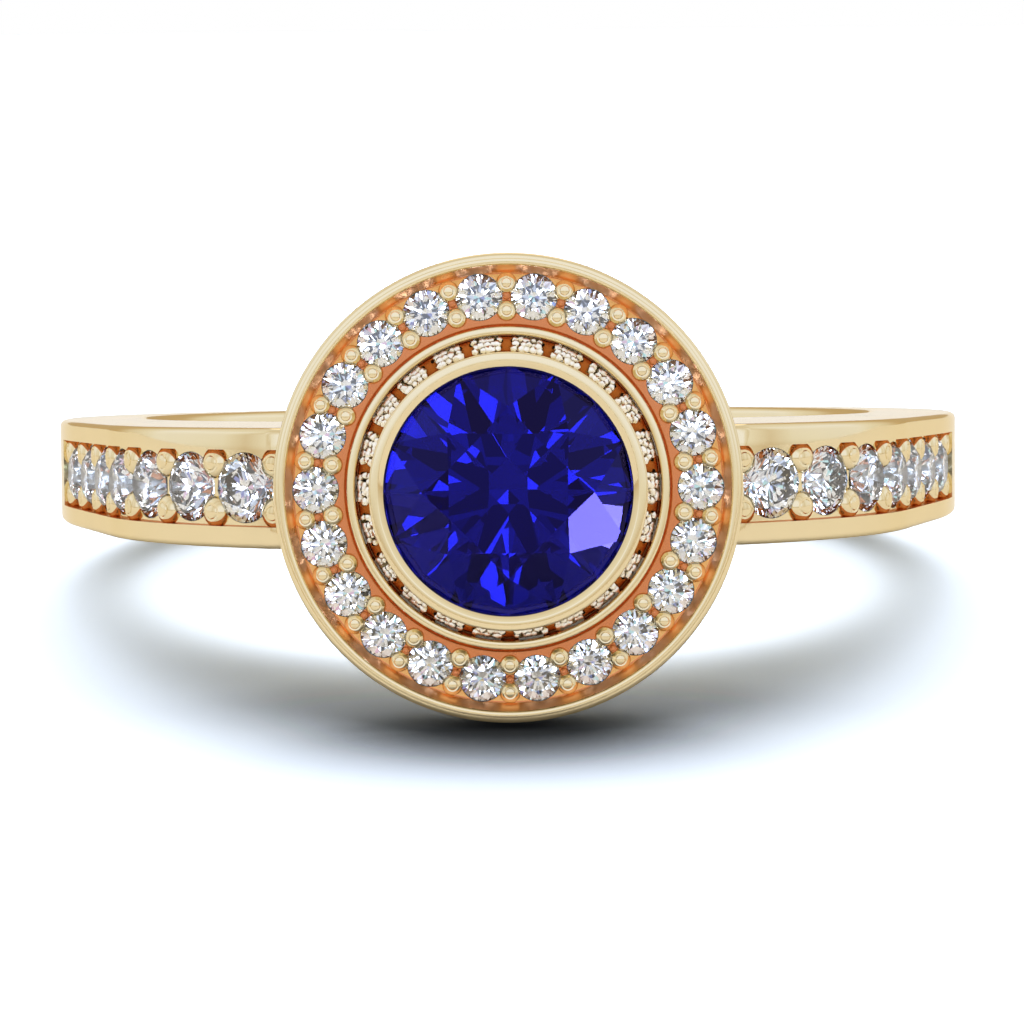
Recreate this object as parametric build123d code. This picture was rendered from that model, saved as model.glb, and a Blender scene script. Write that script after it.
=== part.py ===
from build123d import *
import os
from collections import namedtuple
from math import acos, cos, isclose, pi, radians, sin, tan

# Engagement ring: a round sapphire in a bezel, inside a halo of small diamonds, on a shank whose
# tapered shoulders carry a bead-set channel. All sizes are in millimetres.
#
# Frame: the origin is the centre of the finger hole and +Z runs along the finger. The head points
# to -Y. Heights on the head, called levels below, are distances from the origin along -Y.

# Shank
bore_diameter = 16.8
side_wall = 1.85
band_width = 2.24
flank_radius = 16.4
flank_sweep = 20.6
taper_length = 3.4
outer_edge_break = 0.12
bore_edge_break = 0.16

# Head seat, cut into the top of the shank
seat_level = 13.0
bridge_thickness = 1.5
notch_foot_width = 4.1
notch_basket_gap = 0.3
notch_corner_radius = 0.5
shoulder_land = 1.003

# Channel along each shoulder and the stones in it
rail_width = 0.385
channel_depth = 0.2
shank_stone_diameter = 1.3
shank_stone_count = 7
shank_stone_gap = 0.15
first_stone_margin = 0.757
channel_foot_margin = 1.15
channel_overrun = 0.25
shank_bead_diameter = 0.46
shank_bead_row = 0.46

# Halo, from the stones' circle outwards and inwards
halo_height = 0.95
halo_stone_diameter = 0.825
halo_stone_count = 22
outer_floor_width = 0.415
halo_slope_width = 0.14
halo_ridge_width = 0.105
halo_lip_width = 0.1
halo_lip_drop = 0.05
halo_lip_chamfer = 0.05
halo_foot_chamfer = 0.14
halo_floor_drop = 0.27
inner_floor_width = 0.51
inner_groove_width = 0.05
inner_groove_depth = 0.08
inner_ridge_width = 0.15
inner_ridge_rise = 0.05
halo_bead_diameter = 0.32
outer_bead_offset = 0.225
inner_bead_offset = 0.275
halo_drill_diameter = 0.36
window_width = 0.46
window_top_drop = 0.13
window_height = 0.38

# Bezel round the centre stone
groove_width = 0.3
bezel_wall = 0.22
bezel_rise = 1.04
bezel_lip_width = 0.16
bezel_lip_cover = 0.074
bezel_edge_break = 0.04
bezel_bearing_width = 0.32
flare_top_drop = 0.16
girdle_below_bezel_top = 0.17

# Basket under the head
basket_foot_bore = 1.7
basket_foot_wall = 0.45
basket_overhang = 0.28
basket_ring_width = 0.75
basket_ring_height = 0.42
basket_window_rim = 0.08
basket_strut_width = 0.75
basket_corner_chamfer = 0.2

# Stones
centre_stone_diameter = 4.5
setting_clearance = 0.015
joint_clearance = 0.015

# Cuts: shares of the girdle's radius, a girdle as a share of the diameter, and angles in degrees.
# The small diamonds are single cut, with eight facets above and eight below.
Cut = namedtuple("Cut", "table star crown pavilion lower girdle")
sapphire_cut = Cut(table=0.5, star=0.67, crown=34.5, pavilion=41.5, lower=0.24, girdle=0.03)
diamond_cut = Cut(table=0.57, star=None, crown=34.5, pavilion=41.6, lower=None, girdle=0.045)
brilliant_sides = 16
single_cut_sides = 8
bead_sides = 6

# Sizes that follow from the ones above
bore_radius = bore_diameter / 2
side_x = bore_radius + side_wall
channel_width = band_width - 2 * rail_width
bridge_level = bore_radius + bridge_thickness
halo_level = seat_level + halo_height
floor_level = halo_level - halo_floor_drop
bezel_level = halo_level + bezel_rise
bezel_radius = centre_stone_diameter / 2 + bezel_wall
flare_radius = bezel_radius + groove_width
halo_bore = flare_radius + joint_clearance
ridge_edge = halo_bore + inner_ridge_width
stone_circle = ridge_edge + inner_groove_width + inner_floor_width
halo_radius = (
    stone_circle + outer_floor_width + halo_slope_width + halo_ridge_width + halo_lip_width
)
basket_radius = flare_radius + basket_overhang
girdle_level = bezel_level - girdle_below_bezel_top
head = Plane(origin=(0, 0, 0), x_dir=(1, 0, 0), z_dir=(0, -1, 0))

# The shank's outline on the right-hand side is a flank arc from the widest point, a straight
# taper and a shoulder arc, which runs on from the taper to the corner of the head's seat. A place
# on it is given by its run, the way along it from the widest point, and its lean, the angle of the
# outward direction from -Y.
taper_lean = pi / 2 - radians(flank_sweep)
flank_run = flank_radius * radians(flank_sweep)
flank_centre = Vector(side_x - flank_radius, 0)


def outward(lean):
    """Unit vector out of the shank at a lean."""
    return Vector(sin(lean), -cos(lean))


def along(lean):
    """Unit vector along the outline, towards the head, at a lean."""
    return Vector(-cos(lean), -sin(lean))


taper_start = flank_centre + outward(taper_lean) * flank_radius
taper_end = taper_start + along(taper_lean) * taper_length
notch_mouth = basket_radius + notch_basket_gap
seat_corner = Vector(notch_mouth + shoulder_land, -seat_level)
shoulder_chord = seat_corner - taper_end
shoulder_radius = -shoulder_chord.length ** 2 / (2 * shoulder_chord.dot(outward(taper_lean)))
shoulder_centre = taper_end - outward(taper_lean) * shoulder_radius
seat_lean = acos((seat_level + shoulder_centre.Y) / shoulder_radius)
seat_run = flank_run + taper_length + (taper_lean - seat_lean) * shoulder_radius


def outline_spot(run, inset=0.0):
    """Point at a run along the outline, moved into the metal by inset, and its lean."""
    if run <= flank_run:
        lean = pi / 2 - run / flank_radius
        return flank_centre + outward(lean) * (flank_radius - inset), lean
    if run <= flank_run + taper_length:
        spot = taper_start + along(taper_lean) * (run - flank_run)
        return spot - outward(taper_lean) * inset, taper_lean
    lean = taper_lean - (run - flank_run - taper_length) / shoulder_radius
    return shoulder_centre + outward(lean) * (shoulder_radius - inset), lean


def outline_path(start_run, end_run, inset=0.0):
    """Arcs and straights of the outline between two runs, moved in by inset."""
    joins = [run for run in (flank_run, flank_run + taper_length) if start_run < run < end_run]
    ends = [start_run, *joins, end_run]
    edges = []
    for first, last in zip(ends, ends[1:]):
        first_spot, first_lean = outline_spot(first, inset)
        middle_spot, _ = outline_spot((first + last) / 2, inset)
        last_spot, last_lean = outline_spot(last, inset)
        if isclose(first_lean, last_lean):
            edges.append(Line(first_spot, last_spot).edge())
        else:
            edges.append(ThreePointArc(first_spot, middle_spot, last_spot).edge())
    return edges


def stone_run(number):
    """Run of a shank stone's centre: number 1 is next to the halo. Halves fall between stones."""
    pitch = shank_stone_diameter + shank_stone_gap
    return seat_run - first_stone_margin - (number - 1) * pitch


def closed_face(*edges):
    return Face(Wire(list(edges)))


def turned(points):
    """Solid of revolution about the head's axis from (radius, level) points."""
    return revolve(Plane.XZ * Face(Wire.make_polygon(points)), Axis.Z)


def ring_of(shape, radius, count, turn=0.0):
    """Copies of a shape round the head's axis, the first at turn degrees from +X."""
    return [
        Rot(0, 0, turn + 360 * number / count) * Pos(radius, 0, 0) * shape
        for number in range(count)
    ]


def corner(reach, height, turn):
    """Point at a distance from the Z axis, a height and an angle in radians."""
    return (reach * cos(turn), reach * sin(turn), height)


def closed_solid(facets):
    return Solid(Shell([Face(Wire.make_polygon(points)) for points in facets]))


def faceted(rings, sides):
    """Flat-sided solid through rings of corners, (radius, height) from top to bottom.

    A last radius of 0 ends it in a point.
    """
    step = 2 * pi / sides
    loops = [[corner(*ring, step * k) for k in range(sides)] for ring in rings if ring[0]]
    facets = [loops[0]]
    for upper, lower in zip(loops, loops[1:]):
        facets += [
            [upper[k - 1], upper[k], lower[k], lower[k - 1]] for k in range(sides)
        ]
    if rings[-1][0]:
        return closed_solid(facets + [loops[-1]])
    tip = (0, 0, rings[-1][1])
    return closed_solid(facets + [[loops[-1][k - 1], loops[-1][k], tip] for k in range(sides)])


# Stones


def single_cut_rings(diameter, cut):
    """Radii and heights of a single cut's corners; height 0 is the girdle's upper edge."""
    radius = diameter / 2
    flat = cos(pi / single_cut_sides)
    crown_height = (1 - cut.table) * radius * flat * tan(radians(cut.crown))
    keel = -cut.girdle * diameter
    culet = keel - radius * flat * tan(radians(cut.pavilion))
    return [(cut.table * radius, crown_height), (radius, 0), (radius, keel), (0, culet)]


def single_cut_stone(diameter):
    return faceted(single_cut_rings(diameter, diamond_cut), single_cut_sides)


def brilliant_rings(diameter, cut):
    """The same for a brilliant: its table, star tips, girdle, keel, lower tips and culet."""
    radius = diameter / 2
    flat = cos(2 * pi / brilliant_sides)
    crown_slope, pavilion_slope = tan(radians(cut.crown)), tan(radians(cut.pavilion))
    table = (cut.table * radius, (1 - cut.table) * radius * crown_slope)
    star = (cut.star * radius, (1 - cut.star * flat) * radius * crown_slope)
    keel = -cut.girdle * diameter
    lower = (cut.lower * radius, keel - (1 - cut.lower * flat) * radius * pavilion_slope)
    culet = (0, keel - radius * pavilion_slope)
    return table, star, (radius, 0), (radius, keel), lower, culet


def brilliant(diameter, cut):
    """Round brilliant with 57 facets and a sixteen-sided girdle."""
    table, star, girdle, keel, lower, culet = brilliant_rings(diameter, cut)
    step = 2 * pi / brilliant_sides
    facets = [[corner(*table, step * k) for k in range(1, brilliant_sides, 2)]]
    for k in range(0, brilliant_sides, 2):
        star_tip, next_star_tip = corner(*star, step * k), corner(*star, step * (k + 2))
        low_tip, next_low_tip = corner(*lower, step * k), corner(*lower, step * (k + 2))
        table_corner = corner(*table, step * (k + 1))
        rim = [corner(*girdle, step * near) for near in (k - 1, k, k + 1)]
        keel_rim = [corner(*keel, step * near) for near in (k - 1, k, k + 1)]
        facets += [
            [corner(*table, step * (k - 1)), table_corner, star_tip],
            [table_corner, star_tip, rim[2], next_star_tip],
            [star_tip, rim[0], rim[1]],
            [star_tip, rim[1], rim[2]],
            [rim[0], rim[1], keel_rim[1], keel_rim[0]],
            [rim[1], rim[2], keel_rim[2], keel_rim[1]],
            [low_tip, keel_rim[0], keel_rim[1]],
            [low_tip, keel_rim[1], keel_rim[2]],
            [corner(*culet, 0), low_tip, keel_rim[2], next_low_tip],
        ]
    return closed_solid(facets)


def seat_rings(rings, sides):
    """Rings of the room that a stone needs, with its clearance, down to a point."""
    gap = setting_clearance / cos(pi / sides)
    *crown, keel, below = rings
    slope = (keel[1] - below[1]) / (keel[0] - below[0])
    rim, foot = keel[0] + gap, keel[1] - gap
    above = [(reach + gap, height + gap) for reach, height in crown]
    return [*above, (rim, foot), (0, foot - rim * slope)]


def drilled(rings, diameter, depth):
    """The same room with a hole drilled through its point."""
    *above, (rim, foot), (_, tip) = rings
    drill = diameter / 2
    return [*above, (rim, foot), (drill, tip + (foot - tip) * drill / rim), (drill, -depth)]


def bead(diameter):
    """Bead that a setter raises: a flat-sided dome round the origin, with its foot in the floor."""
    radius = diameter / 2
    rings = [(radius * cos(turn), radius * sin(turn)) for turn in (1.15, 0.5)]
    return faceted([*rings, (radius, -radius / 2)], bead_sides)


# Shank


def shoulder_plane(run, side):
    """Plane on the channel's floor, facing out of the shank, on the right (1) or left (-1)."""
    spot, lean = outline_spot(run, channel_depth)
    out = outward(lean)
    return Plane(origin=(side * spot.X, spot.Y, 0), x_dir=(0, 0, 1), z_dir=(side * out.X, out.Y, 0))


def band_body():
    """The shank's outline, extruded to the band's width, its edges broken, and bored."""
    right = outline_path(0, seat_run)
    left = [mirror(edge, about=Plane.YZ).edge() for edge in right]
    back = ThreePointArc((side_x, 0), (0, side_x), (-side_x, 0))
    seat = Line((right[-1] @ 1), (left[-1] @ 1))
    band = extrude(closed_face(*right, seat.edge(), *left, back.edge()), band_width / 2, both=True)
    sides = [face for face in band.faces() if abs(face.normal_at().Z) > 0.99]
    long_edges = [edge for face in sides for edge in face.edges().sort_by(Axis.Y)[1:]]
    band = chamfer(long_edges, outer_edge_break)
    band -= Cylinder(bore_radius, 2 * band_width)
    bore_edges = band.edges().filter_by(GeomType.CIRCLE).filter_by(
        lambda edge: abs(edge.radius - bore_radius) < joint_clearance
    )
    return chamfer(bore_edges, bore_edge_break)


def notch():
    """The gap between the shoulders that holds the basket, down to the bridge."""
    foot = notch_foot_width / 2
    rise = seat_level - bridge_level
    over = 1 + rise
    reach = foot + (notch_mouth - foot) * over / rise
    points = [
        (-foot, -bridge_level),
        (foot, -bridge_level),
        (reach, -bridge_level - over),
        (-reach, -bridge_level - over),
    ]
    corner = notch_corner_radius
    edge = FilletPolyline(*points, radius=[corner, corner, 0, 0], close=True)
    return extrude(Face(Wire(edge.edges())), band_width, both=True)


def channel(side):
    """The sunk channel along one shoulder."""
    start = stone_run(shank_stone_count) - channel_foot_margin
    end = seat_run + channel_overrun
    floor = outline_path(start, end, channel_depth)
    roof = outline_path(start, end, -1.0)
    foot = Line(roof[0] @ 0, floor[0] @ 0).edge()
    top = Line(floor[-1] @ 1, roof[-1] @ 1).edge()
    face = closed_face(foot, *floor, top, *reversed(roof))
    cutter = extrude(face, channel_width / 2, both=True)
    return cutter if side > 0 else mirror(cutter, about=Plane.YZ)


def shank_beads(side):
    """Pairs of beads on the channel's floor, one pair before, between and after the stones."""
    dome = bead(shank_bead_diameter)
    return [
        shoulder_plane(stone_run(number + 0.5), side) * Pos(row, 0, 0) * dome
        for number in range(shank_stone_count + 1)
        for row in (-shank_bead_row, shank_bead_row)
    ]


def shank():
    body = band_body() - notch() - [channel(1), channel(-1)]
    body += shank_beads(1) + shank_beads(-1)
    stone = single_cut_rings(shank_stone_diameter, diamond_cut)
    seat = faceted(seat_rings(stone, single_cut_sides), single_cut_sides)
    seats = [
        shoulder_plane(stone_run(number), side) * seat
        for side in (1, -1)
        for number in range(1, shank_stone_count + 1)
    ]
    return body - seats


# Halo, bezel and basket, built on the head's axis


def halo_body():
    """The halo's turned tray: outer lip and ridge, sloped wall, floor, groove and inner ridge."""
    ridge = halo_radius - halo_lip_width
    wall = ridge - halo_ridge_width
    lip_level = halo_level - halo_lip_drop
    lip = halo_lip_chamfer
    groove_edge = ridge_edge + inner_groove_width
    inner_level = floor_level + inner_ridge_rise
    return turned(
        [
            (halo_bore, seat_level),
            (halo_radius - halo_foot_chamfer, seat_level),
            (halo_radius, seat_level + halo_foot_chamfer),
            (halo_radius, lip_level - lip),
            (halo_radius - lip, lip_level),
            (ridge, lip_level),
            (ridge, halo_level),
            (wall, halo_level),
            (wall - halo_slope_width, floor_level),
            (groove_edge, floor_level),
            (groove_edge, floor_level - inner_groove_depth),
            (ridge_edge, floor_level - inner_groove_depth),
            (ridge_edge, inner_level),
            (halo_bore, inner_level),
        ]
    )


def halo_frame():
    half_pitch = 180 / halo_stone_count
    dome = Pos(0, 0, floor_level) * bead(halo_bead_diameter)
    body = halo_body()
    body += ring_of(dome, stone_circle + outer_bead_offset, halo_stone_count, half_pitch)
    body += ring_of(dome, stone_circle - inner_bead_offset, halo_stone_count, half_pitch)
    rings = seat_rings(single_cut_rings(halo_stone_diameter, diamond_cut), single_cut_sides)
    through = drilled(rings, halo_drill_diameter, halo_level - seat_level)
    seat = Pos(0, 0, floor_level) * faceted(through, single_cut_sides)
    window_reach = stone_circle - flare_radius
    window = Pos(0, 0, floor_level - window_top_drop - window_height / 2) * Box(
        2 * window_reach, window_width, window_height
    )
    body -= ring_of(seat, stone_circle, halo_stone_count)
    return body - ring_of(window, flare_radius, halo_stone_count)


def centre_bezel():
    """Bezel cup: a tube with a bearing for the girdle, a bevelled lip and a flared foot."""
    opening = centre_stone_diameter / 2 - bezel_lip_cover
    flare_top = floor_level - flare_top_drop
    lip = bezel_radius - bezel_lip_width
    crown_height = bezel_lip_cover * tan(radians(sapphire_cut.crown))
    body = turned(
        [
            (0, seat_level),
            (flare_radius, seat_level),
            (flare_radius, flare_top - groove_width),
            (bezel_radius, flare_top),
            (bezel_radius, bezel_level - bezel_edge_break),
            (bezel_radius - bezel_edge_break, bezel_level),
            (lip, bezel_level),
            (opening, girdle_level + crown_height),
            (0, girdle_level + crown_height),
        ]
    )
    stone = brilliant_rings(centre_stone_diameter, sapphire_cut)[:-1]
    bearing = centre_stone_diameter - 2 * bezel_bearing_width
    seat = drilled(seat_rings(stone, brilliant_sides), bearing, girdle_level)
    return body - Pos(0, 0, girdle_level) * turned([(0, seat[0][1]), *seat, (0, seat[-1][1])])


def basket_window(sill, lintel):
    """Wedge that opens the basket's wall between two struts, with its corners broken."""
    apex = basket_strut_width / 2 ** 0.5
    reach = 2 * basket_radius
    corners = [(apex, 0), (reach, apex - reach), (reach, reach - apex)]
    wedge = extrude(Face(Wire.make_polygon(corners)), lintel - sill)
    by_the_struts = wedge.edges().filter_by(Plane.XY).sort_by(Axis.X)[:4]
    return Pos(0, 0, sill) * chamfer(by_the_struts, basket_corner_chamfer)


def gallery_basket():
    """Flared basket on the bridge: a foot ring, four struts and a ring that carries the head."""
    foot_bore = basket_foot_bore / 2
    foot = foot_bore + basket_foot_wall
    top_bore = basket_radius - basket_ring_width
    low, high = bridge_level + basket_ring_height, seat_level - basket_ring_height
    basket = turned(
        [
            (foot_bore, bridge_level),
            (foot, bridge_level),
            (foot, low),
            (basket_radius, high),
            (basket_radius, seat_level),
            (top_bore, seat_level),
            (top_bore, high),
            (foot_bore, low),
        ]
    )
    window = basket_window(low + basket_window_rim, high - basket_window_rim)
    return basket - [Rot(0, 0, 90 * side) * window for side in range(4)]


# Every piece, by the name of its node


def pieces():
    diamond = single_cut_stone(shank_stone_diameter)
    melee = Pos(0, 0, floor_level) * single_cut_stone(halo_stone_diameter)
    sapphire = Pos(0, 0, girdle_level) * brilliant(centre_stone_diameter, sapphire_cut)
    named = {
        "shank": shank(),
        "gallery_basket": head * gallery_basket(),
        "centre_bezel": head * centre_bezel(),
        "halo_frame": head * halo_frame(),
        "centre_sapphire": head * sapphire,
    }
    for number, stone in enumerate(ring_of(melee, stone_circle, halo_stone_count), start=1):
        named[f"halo_diamond_{number:02d}"] = head * stone
    for side, name in ((-1, "left"), (1, "right")):
        for number in range(1, shank_stone_count + 1):
            plane = shoulder_plane(stone_run(number), side)
            named[f"{name}_shank_diamond_{number}"] = plane * diamond
    return named


os.makedirs("parts", exist_ok=True)
for node, piece in pieces().items():
    export_step(piece, f"parts/{node}.step")
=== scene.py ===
from collections import namedtuple
from math import acos, cos, pi, radians, sin, tan
from random import Random
from types import SimpleNamespace

import bmesh
import bpy
from bpy.props import FloatProperty, FloatVectorProperty, IntProperty, PointerProperty
from mathutils import Matrix, Vector


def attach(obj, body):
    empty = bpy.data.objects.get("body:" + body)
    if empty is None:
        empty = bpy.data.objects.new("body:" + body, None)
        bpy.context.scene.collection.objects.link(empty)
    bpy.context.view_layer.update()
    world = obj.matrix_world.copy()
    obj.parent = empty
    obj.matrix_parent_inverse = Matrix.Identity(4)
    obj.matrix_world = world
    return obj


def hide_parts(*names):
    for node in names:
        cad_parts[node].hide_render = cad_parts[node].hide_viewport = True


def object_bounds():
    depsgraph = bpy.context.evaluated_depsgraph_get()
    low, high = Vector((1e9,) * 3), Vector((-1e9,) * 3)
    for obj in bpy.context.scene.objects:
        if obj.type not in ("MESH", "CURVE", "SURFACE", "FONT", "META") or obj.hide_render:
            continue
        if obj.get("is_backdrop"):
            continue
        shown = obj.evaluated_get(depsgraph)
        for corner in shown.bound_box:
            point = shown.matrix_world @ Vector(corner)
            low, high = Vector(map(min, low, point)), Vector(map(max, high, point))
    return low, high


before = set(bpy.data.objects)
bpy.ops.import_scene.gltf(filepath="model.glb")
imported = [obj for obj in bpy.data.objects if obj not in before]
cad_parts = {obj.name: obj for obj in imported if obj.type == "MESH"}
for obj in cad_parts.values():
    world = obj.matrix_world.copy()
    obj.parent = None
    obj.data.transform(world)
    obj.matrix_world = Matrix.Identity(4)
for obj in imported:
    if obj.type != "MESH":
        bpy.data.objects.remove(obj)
cad_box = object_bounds()

bl_info = {
    "name": "Halo Ring",
    "version": (1, 0, 0),
    "blender": (4, 5, 0),
    "location": "3D View > Sidebar > Halo Ring",
    "description": "Dresses a sapphire ring with a diamond halo and bead-set shoulders",
    "category": "Object",
}

# Pieces are cut on the bench in millimetres and handed over in metres. The ring's finger hole is
# centred on the origin with its axis along Z, and the head points to -Y. Pieces of the head are cut
# about the Z axis, with levels measured from the origin, and then turned over to face -Y.
MM = 0.001
TO_METRES = Matrix.Scale(MM, 4)
HEAD_TURN = Matrix.Rotation(radians(90), 4, "X")
NEAR = 1e-4

# Steps of the round shapes and stretches
RIM_STEPS = 264
BASKET_STEPS = 128
BUR_STEPS = 48
BEAD_STEPS = 24
MARK_STEPS = 10
ROUNDING_STEPS = 4
NOTCH_CORNER_STEPS = 8
FLANK_STEPS = 20
TAPER_STEPS = 8
SHOULDER_STEPS = 40
BACK_STEPS = 120
SEAT_CUTS = 15
SAPPHIRE_GIRDLE_STEPS = 192
DIAMOND_GIRDLE_STEPS = 64

# Small roundings of turned edges
BEVEL_ROUND = 0.012
RIM_OUTER_ROUND = 0.02
EDGE_ROUND = 0.03
RIM_INNER_ROUND = 0.035
BEZEL_ROUND = 0.045
BASKET_RING_ROUND = 0.05
HALO_LIP_ROUND = 0.07
BASKET_ROUND = 0.1

# Room for the stones: round a bur's stone, round the centre stone and under its lip
BUR_ROOM = 0.012
GIRDLE_ROOM = 0.015
LIP_ROOM = 0.01
BUR_RISE = 0.1

# Margins that tell the tray's faces apart when they are painted
WALL_MARGIN = 0.01
RIM_MARGIN = 0.03
FLOOR_MARGIN = 0.1

# Grains and drill marks on the bezel's flare
GRAIN_ROWS = (-1, 0, 1)
GRAIN_COLUMNS = (-2, -1, 0, 1, 2)
GRAIN_ROW_SHARE = 0.8
GRAIN_JITTER = 0.016
GRAIN_SCALES = (0.75, 1.2)
GRAIN_FLATNESS = 0.5
MARK_DEPTH = 0.8

# Seeds of the random turns, so that every run gives the same ring
GRAIN_SEED = 3
HALO_SEED = 11
SHOULDER_SEED = 5

# Metal finishes in the order of their slots: setting of the tint, roughness and depth of wear.
# Polished gold is the plain metal; the other finishes paint shade, reflection or highlight into
# their tints.
METALS = {
    "polished_gold": ("gold", 0.07, 0.25),
    # Painted shade: darker, redder gold for the shade and gold-in-gold reflections of narrow
    # recesses
    "recess_gold": ("deep_shade_gold", 0.25, 0.5),
    # Painted reflection: orange gold-in-gold reflection on the halo's slope
    "slope_gold": ("warm_reflection_gold", 0.3, 0.5),
    # Painted shade: near-black drill marks stand for the shade inside the holes
    "seat_oxide": ("oxide", 0.4, 0.5),
    # Painted highlight: pale, near-white gold for the grains and the openings' walls, to brighten
    # the groove
    "bright_grain": ("grain", 0.3, 0.5),
    # Painted reflection: golden orange on the tray's floor outside the stones, a paler copy of the
    # recess shade
    "golden_floor": ("outer_reflection_gold", 0.25, 0.5),
    # Painted light: near-white seats, so that the stones show bright metal through their pavilions
    "burnished_seat": ("seat", 0.3, 0.5),
}
HAZE_SCALE = 900
HAZE_SHADE = 0.93
HAZE_SPREAD = (0.6, 1.4)
LINE_SCALE = 2600
LINE_STRETCH = (1, 1, 0.15)
LINE_DEPTH = 0.000002
ZONE_SCALE = 400
SAPPHIRE_INDEX = 1.77
DIAMOND_INDEX = 2.42
DIAMOND_ZONE = 0.98
METAL_CREASE = 30
FACET_CREASE = 4
EVEN_WEIGHT = 80


# Settings


def length(name, description, millimetres):
    return FloatProperty(
        name=name, description=description, default=millimetres * MM, unit="LENGTH", precision=5
    )


def colour(name, description, *value):
    return FloatVectorProperty(
        name=name, description=description, default=value, subtype="COLOR", size=3, min=0, max=1
    )


def angle(name, description, degrees):
    return FloatProperty(
        name=name, description=description, default=radians(degrees), unit="ROTATION"
    )


class HaloRingShankSizes(bpy.types.PropertyGroup):
    bore_diameter: length("Bore", "Diameter of the finger hole", 16.8)
    side_wall: length("Side wall", "Thickness of the shank at its sides", 1.85)
    band_width: length("Band width", "Width of the shank along the finger", 2.24)
    flank_radius: length("Flank radius", "Radius of the outline beside the finger", 16.4)
    flank_sweep: angle("Flank sweep", "Turn of the flank's arc", 20.6)
    taper_length: length("Taper", "Straight stretch before the shoulder's arc", 3.4)
    shoulder_radius: length("Shoulder radius", "Radius of the arc that meets the head", 7.45)
    outer_edge_round: length("Outer rounding", "Rounding of the long outer edges", 0.13)
    bore_edge_round: length("Bore rounding", "Rounding of the finger hole's edges", 0.16)
    seat_level: length("Seat level", "Height of the head's seat above the origin", 13.0)
    bridge_thickness: length("Bridge", "Metal left under the head", 1.5)
    notch_foot_width: length("Notch foot", "Width of the notch on the bridge", 4.1)
    notch_mouth_width: length("Notch mouth", "Width of the notch at the head's seat", 6.7)
    notch_corner_radius: length("Notch corner", "Rounding of the notch's foot", 0.5)
    rail_width: length("Rail width", "Width of the rails beside the channel", 0.405)
    channel_depth: length("Channel depth", "Depth of the channel's floor", 0.2)
    first_stone_margin: length("Stone margin", "From the seat's corner to the first stone", 0.757)
    stone_diameter: length("Stone diameter", "Diameter of a shoulder stone", 1.3)
    stone_gap: length("Stone gap", "Room between two shoulder stones", 0.15)
    channel_foot_margin: length("Channel foot", "Channel past the last stone's centre", 1.15)
    channel_overrun: length("Channel overrun", "Channel past the seat's corner", 0.25)
    bead_diameter: length("Bead diameter", "Diameter of a bead between the stones", 0.6)
    bead_row: length("Bead row", "Distance of the beads from the shank's middle", 0.46)
    stone_count: IntProperty(
        name="Stones on a shoulder", description="Stones in each channel", default=7, min=1
    )


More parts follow.
